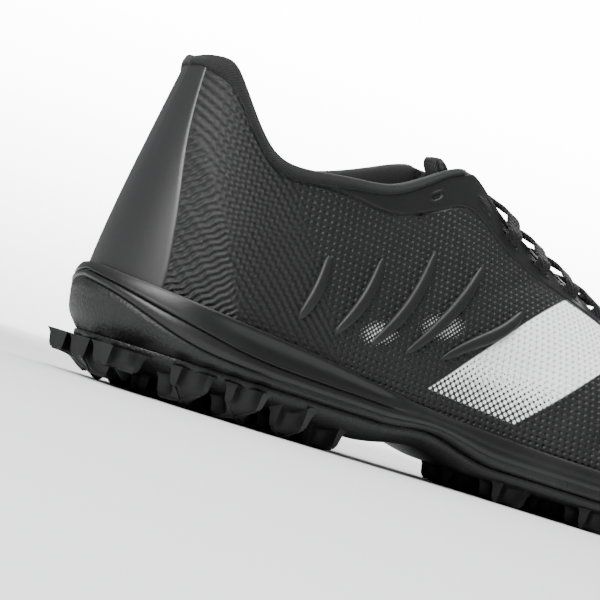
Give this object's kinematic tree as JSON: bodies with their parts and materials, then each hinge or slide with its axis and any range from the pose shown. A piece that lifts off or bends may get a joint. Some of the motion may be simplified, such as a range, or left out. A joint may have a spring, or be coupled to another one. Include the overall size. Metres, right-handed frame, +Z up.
{
  "type": "turf shoe",
  "caption": "Low black lace-up turf shoe for the right foot, with a lugged rubber outsole, foam midsole and hollow upper.",
  "frame": {"origin": "on the floor, under the middle of the shoe's box", "axes": "+X from the heel to the toe, +Y to the inner side of the foot, +Z up"},
  "size_m": [0.2888, 0.1012, 0.1033],
  "materials": {
    "outsole": "satin, smooth",
    "midsole": "satin, finely pebbled",
    "insole": "matt knitted cover",
    "upper": "coated textile with pressed ripples",
    "counter": "smooth satin",
    "binding": "padded matt textile",
    "eyestay": "smooth satin",
    "lining": "matt lining",
    "lace": "flat woven lace"
  },
  "bodies": {
    "root": {"outsole": "outsole", "midsole": "midsole", "insole": "insole", "upper": "upper", "heel_counter": "counter", "collar_binding": "binding", "eyestay": "eyestay", "tongue": "lining", "outer_rib_1": "eyestay", "outer_rib_2": "eyestay", "outer_rib_3": "eyestay", "outer_rib_4": "eyestay", "outer_rib_5": "eyestay", "inner_rib_1": "eyestay", "inner_rib_2": "eyestay", "inner_rib_3": "eyestay", "inner_rib_4": "eyestay", "inner_rib_5": "eyestay", "lace_cross_1": "lace", "lace_cross_2": "lace", "lace_cross_3": "lace", "lace_cross_4": "lace", "lace_bar": "lace"}
  },
  "joints": []
}
